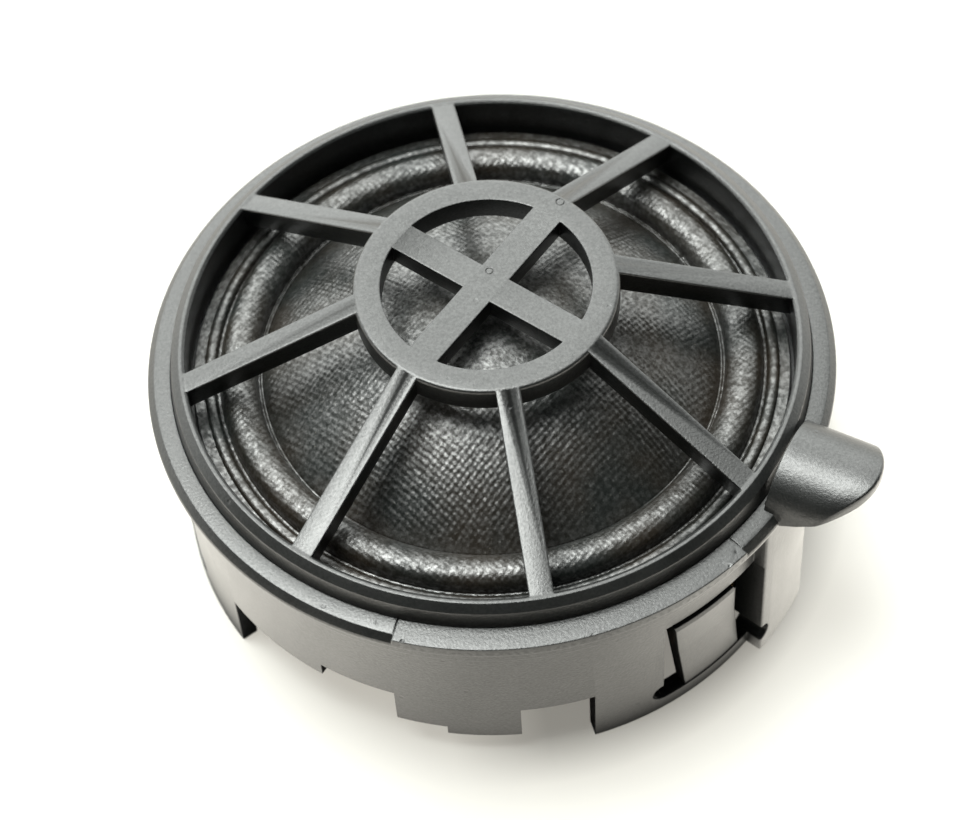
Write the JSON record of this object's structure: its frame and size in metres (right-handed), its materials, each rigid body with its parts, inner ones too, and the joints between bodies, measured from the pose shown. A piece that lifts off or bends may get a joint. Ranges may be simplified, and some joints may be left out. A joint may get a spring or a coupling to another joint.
{
  "type": "car tweeter",
  "caption": "Round dome tweeter in a black plastic snap-in housing, with a raised spoked grille, a thumb tab on the rim and a stepped skirt.",
  "frame": {"origin": "on the speaker's axis, in the plane of the skirt's rear edge, 13.2 mm behind the flange's underside", "axes": "+Z points out of the grille; one grille spoke lies on +X; the connector opens towards +Y"},
  "size_m": [0.0423, 0.042, 0.0209],
  "materials": {
    "black_plastic": "satin moulded, fine grain",
    "coated_cloth": "black woven cloth with a tacky damping coat",
    "zinc_steel": "bright zinc",
    "nickel": "nickel plated neodymium",
    "felt": "pressed felt",
    "former_foil": "amber film",
    "copper": "enamelled copper wire",
    "tinned_brass": "tin plated",
    "laminate": "paper laminate",
    "sleeve": "shrink sleeve"
  },
  "bodies": {
    "housing": {"outer_housing": "black_plastic", "front_grille": "black_plastic", "diaphragm_ring": "black_plastic", "diaphragm_surround": "coated_cloth", "lead_wire_positive": "copper", "lead_wire_negative": "copper", "pole_plate": "zinc_steel", "magnet": "nickel", "yoke_cup": "zinc_steel", "damping_pad": "felt", "terminal_strip_positive": "tinned_brass", "terminal_strip_negative": "tinned_brass", "terminal_board": "laminate", "connector_housing": "black_plastic", "connector_pin_positive": "tinned_brass", "connector_pin_negative": "tinned_brass", "crossover_capacitor": "sleeve"},
    "diaphragm": {"diaphragm_dome": "coated_cloth", "coil_former": "former_foil", "voice_coil": "copper"},
    "latch_1": {"snap_latch_1": "black_plastic"},
    "latch_2": {"snap_latch_2": "black_plastic"},
    "latch_3": {"snap_latch_3": "black_plastic"}
  },
  "joints": [
    {"name": "diaphragm_travel", "type": "slide", "parent": "housing", "child": "diaphragm", "axis": [0, 0, 1], "range_m": [-0.0004, 0.0004], "deforming": ["diaphragm_surround", "lead_wire_positive", "lead_wire_negative"]},
    {"name": "latch_1_flex", "type": "hinge", "parent": "housing", "child": "latch_1", "pos_m": [0.0097, -0.0168, 0.0013], "axis": [-0.866, -0.5, 0], "range_deg": [0, 5]},
    {"name": "latch_2_flex", "type": "hinge", "parent": "housing", "child": "latch_2", "pos_m": [0.0097, 0.0168, 0.0013], "axis": [0.866, -0.5, 0], "range_deg": [0, 5]},
    {"name": "latch_3_flex", "type": "hinge", "parent": "housing", "child": "latch_3", "pos_m": [-0.0194, 0, 0.0013], "axis": [0, 1, 0], "range_deg": [0, 5]}
  ]
}
